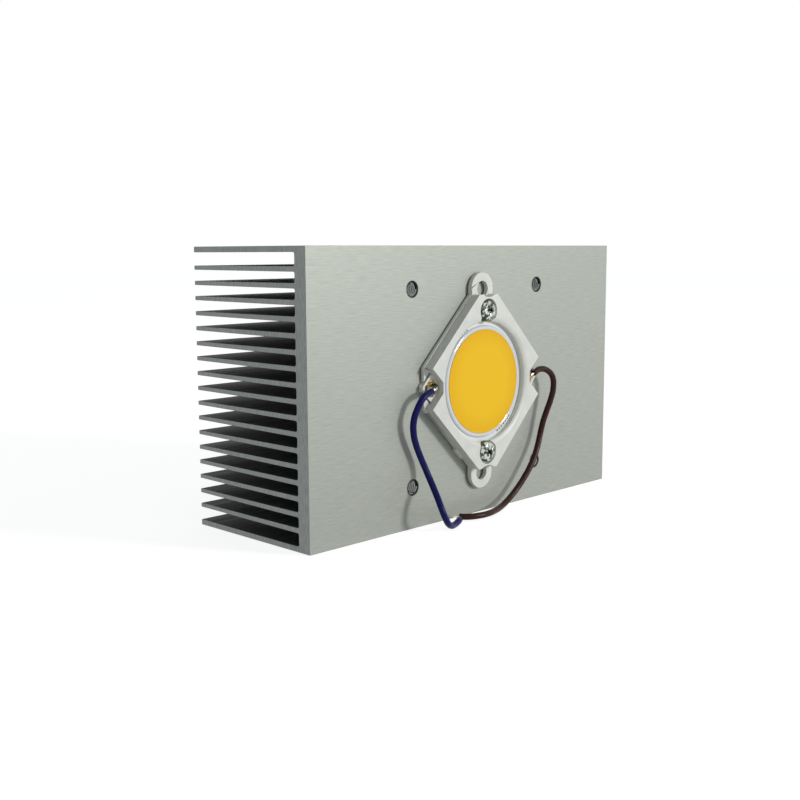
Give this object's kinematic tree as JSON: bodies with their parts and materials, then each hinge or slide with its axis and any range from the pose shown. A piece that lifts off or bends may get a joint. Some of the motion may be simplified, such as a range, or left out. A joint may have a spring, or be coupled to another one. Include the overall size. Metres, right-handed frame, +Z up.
{
  "type": "cob led on a finned heat sink",
  "caption": "Chip-on-board LED with a round yellow light window in a white moulded diamond-shaped holder, screwed to a finned aluminium heat-sink block, with blue and brown lead wires.",
  "frame": {"origin": "centre of the heat sink's bottom face, on which the block stands", "axes": "+Z up, X along the extrusion and its fins, -Y out of the mounting face, the way the light leaves"},
  "size_m": [0.1, 0.0443, 0.06],
  "materials": {
    "sink": "milled face with fine horizontal brushing, dark anodised gaps and saw-cut ends",
    "grease": "soft white paste",
    "base_plate": "bright rolled sheet",
    "circuit": "white solder resist",
    "gold": "gold-plated copper",
    "dies": "blue-grey sapphire chips",
    "phosphor": "smooth yellow silicone",
    "dam": "glossy white silicone bead",
    "solder": "bright tin with brown flux round it",
    "holder": "white moulded plastic, satin",
    "screw": "bright zinc",
    "strand": "tinned copper",
    "blue_lead": "glossy dark blue insulation",
    "brown_lead": "glossy dark brown insulation"
  },
  "bodies": {
    "root": {"heat_sink": "sink", "thermal_grease": "grease", "base_plate": "base_plate", "circuit_layer": "circuit", "left_pad": "gold", "right_pad": "gold", "bond_pads": "gold", "led_dies": "dies", "phosphor": "phosphor", "dam_ring": "dam", "left_solder": "solder", "right_solder": "solder", "holder": "holder", "upper_screw": "screw", "lower_screw": "screw", "blue_strands": "strand", "brown_strands": "strand", "blue_lead": "blue_lead", "brown_lead": "brown_lead", "blue_tail": "strand", "brown_tail": "strand"}
  },
  "joints": []
}
